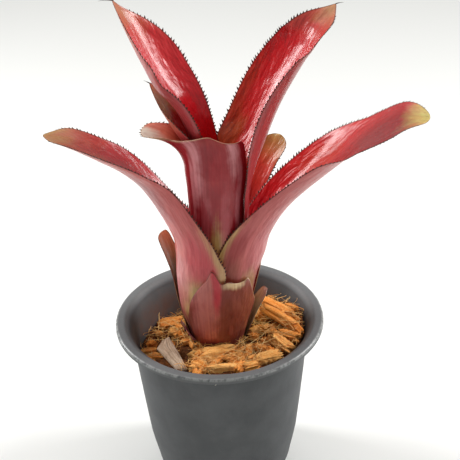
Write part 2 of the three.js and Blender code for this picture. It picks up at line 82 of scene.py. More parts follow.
class Finish:
    """One surface finish, built up node by node on its own shader."""

    def __init__(self, name, **settings):
        self.material = bpy.data.materials.new(name)
        self.material.use_nodes = True
        self.tree = self.material.node_tree
        self.shader = self.tree.nodes["Principled BSDF"]
        for socket, value in settings.items():
            self.shader.inputs[socket.replace("_", " ")].default_value = value

    def node(self, kind, settings, values, out=0):
        made = self.tree.nodes.new(kind)
        for key, value in settings.items():
            if key == "stops":
                while len(made.color_ramp.elements) < len(value):
                    made.color_ramp.elements.new(1)
                for element, (position, colour) in zip(made.color_ramp.elements, value):
                    element.position = position
                    element.color = rgb(colour)
            else:
                setattr(made, key, value)
        for key, value in values.items():
            if isinstance(value, Value):
                self.tree.links.new(value.socket, made.inputs[key])
            else:
                made.inputs[key].default_value = value
        return Value(self, made.outputs[out])

    def mark(self, name, out=2):
        return self.node("ShaderNodeAttribute", {"attribute_name": name}, {}, out)

    def parts(self, vector):
        return [self.node("ShaderNodeSeparateXYZ", {}, {0: vector}, axis) for axis in range(3)]

    def stretch(self, vector, scale):
        return self.node("ShaderNodeVectorMath", {"operation": "MULTIPLY"}, {0: vector, 1: scale})

    def noise(self, vector, scale, detail=2.0, roughness=0.5, distortion=0.0):
        values = {"Vector": vector, "Scale": scale, "Detail": detail, "Roughness": roughness,
                  "Distortion": distortion}
        return self.node("ShaderNodeTexNoise", {}, values)

    def step(self, value, low, high):
        settings = {"interpolation_type": "SMOOTHSTEP"}
        return self.node("ShaderNodeMapRange", settings, {0: value, 1: low, 2: high})

    def ramp(self, value, stops):
        return self.node("ShaderNodeValToRGB", {"stops": stops}, {0: value})

    def mix(self, mask, first, second, blend="MIX"):
        colours = {0: mask, 6: first, 7: second}
        colours = {key: rgb(value) if isinstance(value, tuple) else value for key, value in colours.items()}
        return self.node("ShaderNodeMix", {"data_type": "RGBA", "blend_type": blend}, colours, 2)

    def bump(self, height, strength, distance):
        values = {"Height": height, "Strength": strength, "Distance": distance}
        return self.node("ShaderNodeBump", {}, values)

    def wear(self, **sockets):
        for name, value in sockets.items():
            self.tree.links.new(value.socket, self.shader.inputs[name.replace("_", " ")])


def rgb(colour):
    """A screen colour of 0 to 255 as the shader's own."""
    return tuple(((v / 255 + 0.055) / 1.055) ** 2.4 if v > 10 else v / 3295 for v in colour) + (1.0,)


def smooth(x):
    t = np.clip(x, 0, 1)
    return t * t * (3 - 2 * t)


def make_piece(name, points, faces, finish, marks=None):
    """A mesh from points in millimetres and faces, in one finish, with its named marks."""
    mesh = bpy.data.meshes.new(name)
    mesh.from_pydata((np.asarray(points) * 0.001).tolist(), [], faces)
    for mark, values in (marks or {}).items():
        values = np.asarray(values, np.float32)
        kind = "FLOAT_VECTOR" if values.ndim == 2 else "FLOAT"
        layer = mesh.attributes.new(mark, kind, "POINT")
        layer.data.foreach_set("vector" if values.ndim == 2 else "value", values.ravel())
    mesh.materials.append(finish.material)
    mesh.shade_smooth()
    made = bpy.data.objects.new(name, mesh)
    bpy.context.scene.collection.objects.link(made)
    return made


def ring_faces(rings, count, ends="open"):
    """Faces that join rings of points in turn. The ends are open, capped, or closed on each other."""
    faces = []
    for i in range(rings if ends == "closed" else rings - 1):
        for k in range(count):
            n = (k + 1) % count
            a, b = i * count, (i + 1) % rings * count
            faces.append([a + k, a + n, b + n, b + k])
    if ends == "capped":
        faces.append(list(range(count))[::-1])
        faces.append([(rings - 1) * count + k for k in range(count)])
    return faces


def turned(profile, segments, centre=(0, 0)):
    """Points and faces of a closed turned body, from a list of (radius, height)."""
    turn = np.linspace(0, 2 * np.pi, segments, endpoint=False)
    points = []
    for radius, height in profile:
        rounds = np.stack([centre[0] + radius * np.sin(turn), centre[1] - radius * np.cos(turn),
                           np.full(segments, height)], -1)
        points += rounds.tolist()
    return points, ring_faces(len(profile), segments, "closed")


def rounded(corners, radius, cuts=3):
    """A chain of corners with each one rounded off."""
    made = [corners[0]]
    for before, corner, after in zip(corners, corners[1:], corners[2:]):
        a, b, c = (np.array(p, float) for p in (before, corner, after))
        reach = min(radius, 0.45 * np.linalg.norm(a - b), 0.45 * np.linalg.norm(c - b))
        start = b + (a - b) / np.linalg.norm(a - b) * reach
        finish = b + (c - b) / np.linalg.norm(c - b) * reach
        for s in np.linspace(0, 1, cuts + 1):
            made.append(((1 - s) ** 2 * start + 2 * s * (1 - s) * b + s * s * finish).tolist())
    return made + [corners[-1]]


# Wall outline as radius and height
POT_WALL = [(30, 0), (32.4, 1.2), (36.1, 8), (40.2, 28), (42.5, 48), (44.6, 68), (46, 83), (47.2, 95)]


def wall_radius(height):
    return np.interp(height, [z for _, z in POT_WALL], [r for r, _ in POT_WALL])


POT_THICKNESS = 1.3
RIM_RADIUS = 55
RIM_FOOT = 94.4
POT_HEIGHT = 98


def pot_inside(height):
    return wall_radius(height) - POT_THICKNESS


wall = []
for z in np.linspace(1.2, RIM_FOOT, 48):
    ring = 0.12 * math.exp(-((z - 27) / 0.7) ** 2) + 0.12 * math.exp(-((z - 15) / 0.7) ** 2)
    wall.append((float(wall_radius(z)) - ring, z))
rim = rounded([(47.1, RIM_FOOT), (47.3, 94.7), (54.4, 94.7), (RIM_RADIUS, 95.3), (RIM_RADIUS, 97),
               (54.1, POT_HEIGHT), (50.4, POT_HEIGHT), (47.6, 95.6), (pot_inside(90), 90)], 0.8)
inside = [(pot_inside(z), z) for z in (83, 68, 48, 28, 8)]
floor_line = [(30, 2.2), (27, 1.5), (0.01, 1.5), (0.01, 0), (30, 0)]
outline = rounded([(30, 0), (32.4, 1.2)], 0.5) + wall[1:] + rim + inside + floor_line[:-1]
points, faces = turned(outline, 160)

pot_plastic = Finish("pot_plastic", Specular_IOR_Level=0.45)
spot = pot_plastic.node("ShaderNodeTexCoord", {}, {}, 3)
x, y, z = pot_plastic.parts(spot)
radius = (x * x + y * y) ** 0.5
cloud = pot_plastic.noise(spot, 55, 4, 0.6)
scuff = pot_plastic.noise(pot_plastic.stretch(spot, (1, 1, 0.12)), 420, 3, 0.6)
speck = pot_plastic.noise(spot, 1100, 2, 0.7)
rim_top = pot_plastic.step(z, 0.0945, 0.0965) * pot_plastic.step(radius, 0.0475, 0.0495)
# The rim's ridge: glossier there, and painted lighter, partly as wear and partly as a painted highlight.
ridge_wear_and_highlight = pot_plastic.step(z, 0.0962, 0.0972) * pot_plastic.step(radius, 0.0535, 0.0545)
within = pot_plastic.mark("within")
dust = within * pot_plastic.step(cloud, 0.42, 0.7) * pot_plastic.step(z, 0.099, 0.08)
grey = pot_plastic.mix(pot_plastic.step(cloud, 0.3, 0.75), (74, 76, 78), (86, 88, 90))
grey = pot_plastic.mix(rim_top * (0.25 + speck * 0.5), grey, (116, 118, 118))
# The lighter band on the ridge is partly wear and partly a painted highlight.
grey = pot_plastic.mix(ridge_wear_and_highlight * pot_plastic.step(scuff, 0.3, 0.6) * 0.6, grey, (172, 173, 170))
grey = pot_plastic.mix(dust * 0.75, grey, (96, 62, 50))
grey = pot_plastic.mix(pot_plastic.step(speck, 0.74, 0.8) * 0.4, grey, (140, 140, 136))
pot_plastic.wear(Base_Color=grey, Roughness=0.56 - ridge_wear_and_highlight * 0.26 - rim_top * 0.08 + scuff * 0.1,
                 Normal=pot_plastic.bump(speck * 0.6 + cloud * 0.6, 0.25, 0.0004))
reach = np.hypot(*np.array(points)[:, :2].T)
within = (reach < wall_radius(np.array(points)[:, 2]) - 0.6) & (np.array(points)[:, 2] > 1)
pot = make_piece("pot_shell", points, faces, pot_plastic, {"within": within})
DRAINS, DRAIN_RING, DRAIN_RADIUS = 6, 22, 3.5
drains_points, drains_faces = [], []
for k in range(DRAINS):
    angle = math.radians(30 + 360 / DRAINS * k)
    foot = (DRAIN_RING * math.sin(angle), -DRAIN_RING * math.cos(angle))
    hole, sides = turned([(0.001, -3), (DRAIN_RADIUS, -3), (DRAIN_RADIUS, 4), (0.001, 4)], 24, foot)
    drains_faces += [[corner + len(drains_points) for corner in side] for side in sides]
    drains_points += hole
drains = make_piece("drain_drill", drains_points, drains_faces, pot_plastic)
drilling = pot.modifiers.new("drain_holes", "BOOLEAN")
drilling.object = drains
drilled = bpy.data.meshes.new_from_object(pot.evaluated_get(bpy.context.evaluated_depsgraph_get()))
pot.modifiers.clear()
pot.data = drilled
bpy.data.objects.remove(drains)
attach(pot, "root")
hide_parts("pot")


# ----------------------------------------------------------------------
# The coconut husk that fills the pot. It is chopped coir: a dark, crumbly bed with tan chips laid
# on top, level at the front right and sunk in a trough towards the back left.
AXIS = np.array([-1.0, -1.0])


def soil_height(radius, azimuth):
    """The height of the husk's top, which sinks in a trough towards the back left."""
    turn = np.radians(azimuth + 140)
    trough = smooth((np.cos(turn) + 0.35) / 1.1)
    ring = smooth((radius - 19) / 10)
    swell = 0.9 * np.sin(0.6 * radius + 3 * turn) + 0.7 * np.sin(5 * turn)
    rise = 2.5 * smooth((radius - 24) / 18) * (1 - trough)
    return 89.2 + rise + ring * (swell - 15 * trough)


NECK_RADIUS, BED_RADIUS = 16.4, 44.2
random = np.random.default_rng(4271)
turn = np.linspace(0, 360, 180, endpoint=False)
bed = []
for share in np.linspace(0, 1, 40):
    centre = AXIS[:, None] * (1 - share)
    radius = NECK_RADIUS + (BED_RADIUS - NECK_RADIUS) * share
    x = centre[0] + radius * np.sin(np.radians(turn))
    y = centre[1] - radius * np.cos(np.radians(turn))
    reach = np.hypot(x, y)
    height = soil_height(reach, np.degrees(np.arctan2(x, -y)))
    crumb = 0.5 * random.standard_normal(180) * (share < 0.98)
    limit = (pot_inside(height) - 0.4) / reach
    scale = np.minimum(1, limit)
    bed.append(np.stack([x * scale, y * scale, height + crumb - 0.6], -1))
bed.append(bed[-1] * [0.93, 0.93, 0] + [0, 0, 60])
bed.append(bed[0] * [1, 1, 0] + [0, 0, 60])
points = np.concatenate(bed)
faces = ring_faces(len(bed), 180, "closed")


def coir_finish(name, dark, tan, straw):
    """Coir in three tones: its gaps, its pith and its loose fibres."""
    coir = Finish(name, Specular_IOR_Level=0.2, Roughness=0.95)
    grain, tone = coir.mark("grain", 1), coir.mark("tone")
    fibre = coir.noise(coir.stretch(grain, (0.09, 1.5, 1.5)), 1, 4, 0.65, 0.3)
    pith = coir.noise(grain, 0.8, 4, 0.7)
    light = fibre * 0.75 + pith * 0.45 + tone * 0.5 - 0.5
    colour = coir.ramp(light, [(0.05, dark), (0.32, tan), (0.62, straw), (0.9, (246, 214, 160))])
    coir.wear(Base_Color=colour, Normal=coir.bump(fibre + pith * 0.7, 0.9, 0.0009))
    return coir


husk_crumb = coir_finish("husk_crumb", (34, 22, 14), (110, 62, 28), (190, 112, 50))
marks = {"grain": points, "tone": 0.25 + 0.2 * random.random(len(points))}
bed_piece = make_piece("husk_bed", points, faces, husk_crumb, marks)
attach(bed_piece, "root")
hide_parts("husk_mix")


def turned_about(points, yaw, pitch, roll):
    """Points rolled about X, pitched about Y and then yawed about Z, in degrees."""
    for axis, angle in ((0, roll), (1, pitch), (2, yaw)):
        c, s = math.cos(math.radians(angle)), math.sin(math.radians(angle))
        a, b = [(1, 2), (2, 0), (0, 1)][axis]
        points = points.copy()
        first, second = points[:, a] * c - points[:, b] * s, points[:, a] * s + points[:, b] * c
        points[:, a], points[:, b] = first, second
    return points


class Heap:
    """Loose pieces of coir gathered into one mesh."""

    def __init__(self):
        self.points, self.faces, self.grain, self.tone = [], [], [], []
        self.count = 0

    def add(self, points, faces, grain, tone):
        self.points.append(points)
        self.faces += [[k + self.count for k in face] for face in faces]
        self.grain.append(grain)
        self.tone.append(np.full(len(points), tone))
        self.count += len(points)

    def piece(self, name, finish):
        marks = {"grain": np.concatenate(self.grain), "tone": np.concatenate(self.tone)}
        return make_piece(name, np.concatenate(self.points), self.faces, finish, marks)


def husk_chip(length, width, depth, random, strands=26, stations=16):
    """A torn block of coir that lies along X. Each strand has its own height and its own ends."""
    turn = np.linspace(0, 2 * np.pi, strands, endpoint=False)
    c, s = np.cos(turn), np.sin(turn)
    section = np.stack([np.sign(c) * np.abs(c) ** 0.6 * width / 2,
                        np.sign(s) * np.abs(s) ** 0.6 * depth / 2], -1)
    section *= (1 + 0.2 * random.standard_normal(strands))[:, None]
    left = -length / 2 + 0.13 * length * random.standard_normal(strands)
    right = length / 2 + 0.13 * length * random.standard_normal(strands)
    rings = []
    for u in np.linspace(0, 1, stations):
        swell = 1 - 0.22 * abs(2 * u - 1) ** 3 + 0.05 * random.standard_normal((strands, 1))
        rings.append(np.column_stack([left + (right - left) * u, section * swell]))
    for ring, inset in ((rings[0], 0.8), (rings[-1], -0.8)):
        core = ring * [1, 0.55, 0.55] + [inset, 0, 0]
        rings = [core] + rings if inset > 0 else rings + [core]
    return np.concatenate(rings), ring_faces(len(rings), strands, "capped")


# Place as azimuth and radius, size as length, width and depth, turn as yaw, pitch and roll, lift
# above the bed, and tone
CHIPS = [
    (-133, 39, 15, 8, 5, 10, 0, 10, 1.5, 0.55), (-100, 38, 9, 6, 6, 80, 20, 0, 2, 0.35),
    (-43, 26, 8, 5, 4, 60, 5, 10, 1, 0.45), (-31, 39, 7, 6, 5, 20, 0, 0, 1, 0.5),
    (-93, 26, 9, 5, 4, -40, 20, 0, 2, 0.5), (-6, 24.5, 21, 12, 8, 12, -4, 0, 1.2, 0.85),
    (5, 38.5, 17, 7, 6, 2, 0, -14, 1.2, 0.95), (-17, 37, 10, 7, 6, -30, 6, 10, 0.6, 0.6),
    (37, 39.5, 15, 8, 6, 24, 4, 0, 0.8, 0.8), (22, 42, 8, 5, 4, 20, 0, 10, 0.5, 0.7),
    (33, 24, 10, 6, 5, 40, 6, 0, 1, 0.7), (60, 36, 15, 10, 6, -50, 8, -6, 1.2, 0.8),
    (123, 25, 15, 6, 5, 80, 12, 0, 2.2, 0.75), (91, 33, 24, 7, 4.5, -42, 8, 8, 2.8, 0.65),
    (112, 33, 24, 6, 4, -36, 6, -10, 3, 0.6), (79, 42, 8, 5, 5, -60, 10, 0, 1.4, 0.4),
    (70, 38, 12, 6, 5, -30, 0, 12, 1.6, 0.6), (45, 30, 9, 6, 5, -20, 0, 5, 0.6, 0.6),
    (14, 29, 10, 6, 4, 30, 6, 0, 0.8, 0.75),
]


def polar(azimuth, radius, height):
    angle = math.radians(azimuth)
    return np.array([radius * math.sin(angle), -radius * math.cos(angle), height])


def beside_bark(azimuth, radius):
    """Whether a spot on the bed is clear of the bark sliver."""
    x, y, _ = polar(azimuth, radius, 0)
    return math.hypot(x + 25, y + 22) > 13


parts = []
for azimuth, radius, length, width, depth, yaw, pitch, roll, lift, tone in CHIPS:
    size = (0.85 * length, 0.78 * width, 0.8 * depth)
    parts.append((azimuth, radius, size, (yaw, pitch, roll), lift, tone))
SMALL_CHIPS = 120
for k in range(SMALL_CHIPS):
    azimuth = 360 * random.random()
    size = (3.5 + 6.5 * random.random() ** 1.5, 2 + 2.6 * random.random(), 1.6 + 2.2 * random.random())
    turns = (360 * random.random(), 30 * random.random() - 15, 30 * random.random() - 15)
    radius, lift, tone = 19 + 24 * random.random(), 1.6 * random.random(), 0.25 + 0.6 * random.random()
    parts.append((azimuth, radius, size, turns, lift, tone))
parts = [part for part in parts if beside_bark(part[0], part[1])]
heap = Heap()
for azimuth, radius, size, turns, lift, tone in parts:
    points, faces = husk_chip(*size, random)
    grain = points + 40 * random.random(3)
    points = turned_about(points, *turns)
    points = points + polar(azimuth, radius, soil_height(radius, azimuth) + lift)
    reach = np.hypot(points[:, 0], points[:, 1])
    limit = pot_inside(points[:, 2]) - 0.4
    points[:, :2] *= np.minimum(1, limit / np.maximum(reach, 1))[:, None]
    heap.add(points, faces, grain, tone)
husk_tan = coir_finish("husk_tan", (112, 52, 18), (240, 146, 62), (255, 196, 116))
chips = heap.piece("husk_chips", husk_tan)
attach(chips, "root")


def unit(v):
    return v / np.maximum(np.linalg.norm(v, axis=-1, keepdims=True), 1e-12)


def thread(path, radius, sides=4, end=None):
    """Points and faces of a thin fibre along a path, with pointed ends or one tapered end."""
    ahead = unit(np.gradient(path, axis=0))
    across = unit(np.cross(ahead, [0.3, 0.2, 0.9]))
    above = np.cross(across, ahead)
    turn = np.linspace(0, 2 * np.pi, sides, endpoint=False)
    taper = np.ones(len(path))
    taper[0] = taper[-1] = 0.25
    if end:
        taper = np.linspace(1, end, len(path))
    rings = (path[:, None] + radius * taper[:, None, None]
             * (across[:, None] * np.cos(turn)[:, None] + above[:, None] * np.sin(turn)[:, None]))
    return rings.reshape(-1, 3), ring_faces(len(path), sides, "capped")


# Long fibres that lie over the chips: both ends as azimuth, radius and height, and thickness
FIBRES = [
    (151, 40, 86, 86, 43.5, 96, 0.55), (3, 31, 93, 69, 29, 97, 0.3), (25, 19, 95, 30, 41, 96, 0.32),
    (33, 30, 95, 76, 42, 96, 0.28), (-7, 33, 94, 44, 21, 95, 0.25), (-127, 42, 84, -110, 36, 81, 0.35),
    (-120, 36, 83, -60, 20, 93, 0.28), (-88, 20, 93, -33, 23, 92, 0.25), (120, 28, 92, 100, 42, 96, 0.3),
    (135, 30, 90, 95, 30, 96, 0.3), (90, 22, 93, 60, 40, 95, 0.25), (110, 24, 93, 75, 36, 96, 0.25),
    (80, 24, 92, 95, 43, 96, 0.3), (50, 22, 92, 70, 43, 95, 0.25), (-50, 22, 92, -90, 40, 84, 0.25),
    (-140, 30, 82, -100, 40, 82, 0.3), (-30, 30, 93, -5, 42, 94, 0.25), (10, 42, 95, 40, 34, 96, 0.25),
]
paths = []
for start_az, start_r, start_z, end_az, end_r, end_z, thick in FIBRES:
    start, finish = polar(start_az, start_r, start_z), polar(end_az, end_r, end_z)
    s = np.linspace(0, 1, 14)[:, None]
    bow = 1.2 * random.standard_normal(3) * [1, 1, 0.3]
    path = start * (1 - s) + finish * s + np.sin(np.pi * s) * bow + 0.15 * random.standard_normal((14, 3))
    paths.append((path, thick / 2, 0.95))
LOOSE_FIBRES = 1500
for k in range(LOOSE_FIBRES):
    azimuth, radius = 360 * random.random(), 18 + 25 * random.random()
    length = 3 + 13 * random.random() ** 2
    yaw = 360 * random.random()
    heading = polar(yaw, length, 0)
    height = float(soil_height(radius, azimuth)) + 0.8 + 3.4 * random.random()
    s = np.linspace(-0.5, 0.5, 8)[:, None]
    rise = (random.random() - 0.4) * 0.35 * length
    path = polar(azimuth, radius, height) + s * heading + [0, 0, 1] * (rise * s + 0.6 * (0.25 - s * s))
    path = path + np.sin(2 * np.pi * s) * 0.06 * length * random.standard_normal(3) * [1, 1, 0.3]
    thick, tone = 0.06 + 0.13 * random.random() ** 2, 0.4 + 0.6 * random.random()
    if beside_bark(azimuth, radius):
        paths.append((path, thick, tone))
heap = Heap()
for path, thick, tone in paths:
    reach = np.hypot(path[:, 0], path[:, 1])
    path[:, :2] *= np.minimum(1, (pot_inside(np.minimum(path[:, 2], 94)) - 0.6) / reach)[:, None]
    from_axis = path[:, :2] - AXIS
    path[:, :2] += from_axis * np.maximum(0, 17.2 / np.hypot(*from_axis.T) - 1)[:, None]
    points, faces = thread(path, thick)
    heap.add(points, faces, points, tone)
husk_straw = coir_finish("husk_straw", (150, 84, 34), (240, 166, 84), (255, 216, 146))
fibres = heap.piece("husk_fibres", husk_straw)
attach(fibres, "root")


# ----------------------------------------------------------------------
# A pale coir fibre that clings to the front of the pot, just under the rim.
down = np.linspace(0, 1, 16)
stray = [polar(-1.6 + 1.2 * math.sin(math.pi * u) - 2.4 * u * u, wall_radius(95 - 7 * u) + 0.2, 95 - 7 * u)
         for u in down]
points, faces = thread(np.array(stray), 0.16, 6)
pale_coir = coir_finish("pale_coir", (180, 170, 146), (222, 214, 192), (240, 234, 216))
stray_fibre = make_piece("stray_fibre", points, faces, pale_coir,
                         {"grain": points, "tone": np.full(len(points), 0.6)})
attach(stray_fibre, "root")


# ----------------------------------------------------------------------
# The bark chip at the front left: a split sliver of grey-beige pine bark, lying on the husk.
BARK_LEFT = [(-30.3, -11.2), (-33, -17.7), (-27.5, -27.4), (-22, -37.1)]
BARK_RIGHT = [(-26.9, -8.2), (-23.8, -16), (-21, -24), (-17.1, -36.2)]
along = np.linspace(0, 3, 46)
edges = [np.array([[np.interp(u, range(4), [p[c] for p in side]) for c in range(2)] for u in along])
         for side in (BARK_LEFT, BARK_RIGHT)]
random = np.random.default_rng(77)
ridges = 0.35 * random.standard_normal(24)
section = np.linspace(0, 1, 24)
rounding = np.sqrt(np.clip(np.minimum(section, 1 - section) * 9, 0, 1))
rings = []
for u, (left, right) in enumerate(zip(*edges)):
    end = math.sqrt(min(1, (min(u, 45 - u) + 0.4) / 2.5))
    level = left + (right - left) * section[:, None]
    top = 92.2 - 0.9 + (0.5 + 0.3 * ridges) * rounding * end + 0.06 * random.standard_normal(24)
    under = 89.4 + 0.9 * (1 - rounding * end)
    rings.append(np.concatenate([np.column_stack([level, top]), np.column_stack([level, under])[::-1]]))
points = np.concatenate(rings)
faces = [[i * 48 + k, (i + 1) * 48 + k, (i + 1) * 48 + (k + 1) % 48, i * 48 + (k + 1) % 48]
         for i in range(45) for k in range(48)]
faces += [list(range(48)), [45 * 48 + k for k in range(48)][::-1]]
length = np.repeat(along * 10, 48)
width = np.tile(np.concatenate([section, section[::-1]]) * 9, 46)
bark = Finish("bark", Specular_IOR_Level=0.25, Roughness=0.85)
grain = bark.mark("grain", 1)
fibre = bark.noise(bark.stretch(grain, (0.11, 1.3, 1)), 1, 4, 0.6, 0.2)
flake = bark.noise(grain, 0.6, 3, 0.6)
colour = bark.ramp(fibre * 0.7 + flake * 0.4, [(0.3, (104, 78, 60)), (0.5, (176, 148, 124)),
                                               (0.68, (206, 184, 160)), (0.85, (226, 210, 190))])
colour = bark.mix(bark.step(flake, 0.58, 0.7) * 0.4, colour, (176, 120, 84))
bark.wear(Base_Color=colour, Normal=bark.bump(fibre, 0.8, 0.0006))
marks = {"grain": np.column_stack([length, width, points[:, 2]])}
bark_piece = make_piece("bark_sliver", points, faces, bark, marks)
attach(bark_piece, "root")
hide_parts("bark_chip")


# ----------------------------------------------------------------------
# The stem core, hidden in the nest of leaf bases: a short, fibrous brown stem.
stem = Finish("stem", Roughness=0.8)
spot = stem.node("ShaderNodeTexCoord", {}, {}, 3)
fibre = stem.noise(stem.stretch(spot, (900, 900, 60)), 1, 3, 0.6)
stem.wear(Base_Color=stem.ramp(fibre, [(0.3, (84, 62, 40)), (0.7, (158, 132, 92))]),
          Normal=stem.bump(fibre, 0.5, 0.0004))
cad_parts["stem_core"].data.materials[0] = stem.material


# ----------------------------------------------------------------------
# The low leaf that arches to the left. Leaves are stiff, fleshy straps, rolled round the stem at
# the base and opening to a trough, with a pale horny margin of hooked brown spines.
LEAF_HALF = 0.35
LEAN = 0.034


def direction(azimuth):
    angle = np.radians(azimuth)
    return np.stack([np.sin(angle), -np.cos(angle), np.zeros_like(angle)], -1)


def on_axis(height):
    height = np.asarray(height, float)
    return np.stack([AXIS[0] + LEAN * (height - 90), np.full_like(height, AXIS[1]), height], -1)


def row_at(rows, t):
    """The rows of a table joined by a smooth curve, at each share t of its length."""
    rows = np.asarray(rows, float)
    padded = np.vstack([2 * rows[0] - rows[1], rows, 2 * rows[-1] - rows[-2]])
    x = np.clip(np.asarray(t) * (len(rows) - 1), 0, len(rows) - 1 - 1e-9)
    i = x.astype(int)
    f = (x - i)[:, None]
    a, b, c, d = padded[i], padded[i + 1], padded[i + 2], padded[i + 3]
    return 0.5 * (2 * b + (c - a) * f + (2 * a - 5 * b + 4 * c - d) * f ** 2
                  + (3 * b - a - 3 * c + d) * f ** 3)


def strap(azimuth, rows, sheath, round_from, steps=150, across=45):
    """The middle surface of a leaf as a grid, from rows of reach from the axis, height, shift
    sideways, half width, half curl and roll. Returns points, shares along and shares across."""
    out = direction(float(azimuth))
    side = np.cross([0.0, 0.0, 1.0], out)

    def mid_at(t):
        reach, height, shift = row_at(rows, t)[:, :3].T
        return on_axis(height) + out * reach[:, None] + side * shift[:, None]

    tail = round_from + (1 - round_from) * np.sin(np.linspace(0, np.pi / 2, 14)[1:])
    t = np.concatenate([np.linspace(0, round_from, steps), tail])
    half_width, half_curl, roll = row_at(rows, t)[:, 3:].T
    forward = unit(mid_at(np.minimum(t + 0.004, 1)) - mid_at(np.maximum(t - 0.004, 0)))
    turn = smooth((t * (len(rows) - 1) - (sheath - 1)) / 2)[:, None]
    forward = unit(forward * turn + np.array([0.0, 0.0, 1.0]) * (1 - turn))
    flat = unit(side - forward * (forward @ side)[:, None])
    inward = np.cross(forward, flat)
    tilt = np.radians(roll)[:, None]
    sideways = flat * np.cos(tilt) + inward * np.sin(tilt)
    inward = inward * np.cos(tilt) - flat * np.sin(tilt)
    end = np.clip((t - round_from) / (1 - round_from), 0, 1)
    width = half_width * np.sqrt(np.maximum(1 - end ** 2, 0)) + 0.05
    curl = np.radians(np.maximum(half_curl, 4)) * np.clip(width / np.maximum(half_width, 0.1), 0.25, 1)
    radius = width / curl
    s = np.linspace(-1, 1, across)
    s = s * (1.3 - 0.3 * s ** 2)
    angle = curl[:, None] * s
    grid = (mid_at(t)[:, None] + inward[:, None] * (radius[:, None] * (1 - np.cos(angle)))[..., None]
            + sideways[:, None] * (radius[:, None] * np.sin(angle))[..., None])
    return grid, np.broadcast_to(t[:, None], grid.shape[:2]), np.broadcast_to(s, grid.shape[:2])


def both_faces(layer):
    """Values of a blade's inner face, run back across its outer face."""
    return np.concatenate([layer, layer[:, ::-1]], axis=1)


def at_distance(values, distances, x):
    """The row of values at the distance x along a margin."""
    return np.array([np.interp(x, distances, values[:, c]) for c in range(3)])


def blade(grid, along, across, spines=(), upright=False):
    """A closed thin blade on a grid of middle points, with its marks. Each set of spines is the
    margin's column, the column next to it, and the first and last share of the length."""
    rows, columns = grid.shape[:2]
    normal = unit(np.cross(np.gradient(grid, axis=0), np.gradient(grid, axis=1)))
    gap = np.linalg.norm(np.diff(grid, axis=1), axis=2)
    from_first = np.concatenate([np.zeros((rows, 1)), np.cumsum(gap, axis=1)], axis=1)
    edge = np.minimum(from_first, from_first[:, -1:] - from_first)
    step = np.linalg.norm(np.diff(grid[:, columns // 2], axis=0), axis=1)
    length = np.concatenate([[0], np.cumsum(step)])[:, None] + np.zeros((1, columns))
    middle = from_first - from_first[:, -1:] / 2
    half = LEAF_HALF * (0.35 + 0.65 * smooth(edge / 2.5))
    inner = grid + normal * half[..., None]
    outer = grid - normal * half[..., None]
    ring = np.concatenate([inner, outer[:, ::-1]], axis=1)
    if upright:
        length, middle = from_first, length - length[-1] / 2
    share = np.stack([both_faces(along), both_faces(across),
                      np.concatenate([np.ones((rows, columns)), np.zeros((rows, columns))], axis=1)], -1)
    place = np.stack([both_faces(length), both_faces(middle), both_faces(edge)], -1)
    count = 2 * columns
    points = ring.reshape(-1, 3)
    i, k = np.meshgrid(np.arange(rows - 1), np.arange(count), indexing="ij")
    n = (k + 1) % count
    faces = np.stack([i * count + k, (i + 1) * count + k, (i + 1) * count + n, i * count + n], -1)
    faces = faces.reshape(-1, 4).tolist()
    last = (rows - 1) * count
    for j in range(columns - 1):
        faces.append([j, j + 1, count - 2 - j, count - 1 - j])
        faces.append([last + count - 1 - j, last + count - 2 - j, last + j + 1, last + j])
    shares = share.reshape(-1, 3)
    places = place.reshape(-1, 3)
    spine = np.zeros(len(points))
    random = np.random.default_rng(rows * 7 + columns)
    made = [points]
    total = len(points)
    for column, neighbour, first, last_share in spines:
        margin = grid[:, column]
        at = np.concatenate([[0], np.cumsum(np.linalg.norm(np.diff(margin, axis=0), axis=1))])
        begin, stop = np.interp([first, last_share], along[:, column], at)
        x = begin
        while x < stop:
            root = at_distance(margin, at, x)
            ahead = unit(at_distance(np.gradient(margin, axis=0), at, x))
            away = unit(at_distance(margin - grid[:, neighbour], at, x))
            away = unit(away - ahead * (away @ ahead))
            face = np.cross(ahead, away)
            size = (0.75 + 0.5 * random.random()) * (0.5 + 0.5 * smooth((x - begin) / 12))
            size *= 0.6 + 0.4 * smooth((stop - x) / 12)
            reach, foot, thick = 1.3 * size, 0.62 * size, 0.25
            turns = np.linspace(0, 2 * np.pi, 6, endpoint=False)
            for share_out in (0, 0.3, 0.6, 0.85):
                sweep = 0.75 * size * share_out ** 1.6
                middle_point = root + away * (reach * share_out - 0.3) + ahead * sweep
                narrow = (1 - share_out) ** 0.85
                made.append(middle_point + np.outer(np.cos(turns), ahead) * foot * narrow
                            + np.outer(np.sin(turns), face) * thick * max(narrow, 0.3))
            made.append((root + away * (reach - 0.3) + ahead * 0.8 * size)[None])
            for level in range(3):
                for side in range(6):
                    a, b = total + level * 6 + side, total + level * 6 + (side + 1) % 6
                    faces.append([a, a + 6, b + 6, b])
            for side in range(6):
                faces.append([total + 18 + side, total + 24, total + 18 + (side + 1) % 6])
            spine = np.concatenate([spine, np.repeat([0.15, 0.6, 0.9, 1], 6), [1]])
            share_here = np.interp(x, at, along[:, column])
            shares = np.concatenate([shares, np.tile([share_here, across[0, column], 0.5], (25, 1))])
            places = np.concatenate([places, np.tile([x, 0, 0], (25, 1))])
            total += 25
            x += 1.95 * (0.75 + 0.5 * random.random())
    return np.concatenate(made), faces, {"share": shares, "place": places, "spine": spine}


